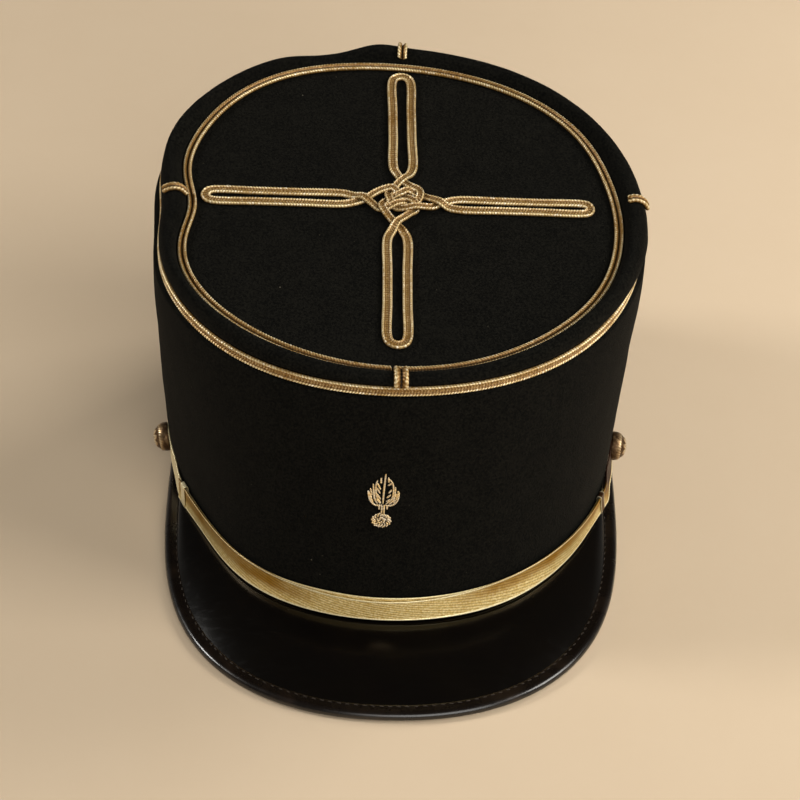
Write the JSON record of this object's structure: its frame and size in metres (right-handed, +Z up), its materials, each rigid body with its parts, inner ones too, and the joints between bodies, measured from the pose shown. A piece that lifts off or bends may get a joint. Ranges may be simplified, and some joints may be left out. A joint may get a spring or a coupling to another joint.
{
  "type": "officer's kepi",
  "caption": "Round black wool kepi with a sunken top, gold braid and knot, an embroidered badge, a lace chin strap on side buttons and a bound patent leather peak.",
  "frame": {"origin": "on the surface the hat stands on, under the middle of its box", "axes": "+Z up, -Y to the front where the peak is, +X to the wearer's left"},
  "size_m": [0.1802, 0.2378, 0.133],
  "materials": {
    "wool": "fulled black wool with a short nap",
    "soutache": "gold thread cord, slightly tarnished",
    "bullion": "gold bullion wire embroidery",
    "lace": "woven gold lace with a bright selvedge",
    "button_brass": "tarnished brown",
    "patent_leather": "lacquered, high gloss",
    "binding_leather": "rolled and polished"
  },
  "bodies": {
    "root": {"crown_side": "wool", "crown_top": "wool", "braid_outer": "soutache", "braid_inner": "soutache", "braid_front": "soutache", "braid_right": "soutache", "braid_back": "soutache", "braid_left": "soutache", "top_knot": "soutache", "badge": "bullion", "strap_under": "lace", "strap_over": "lace", "strap_loop_left": "lace", "strap_loop_right": "lace", "button_left": "button_brass", "button_right": "button_brass", "peak": "patent_leather", "peak_binding": "binding_leather"}
  },
  "joints": []
}
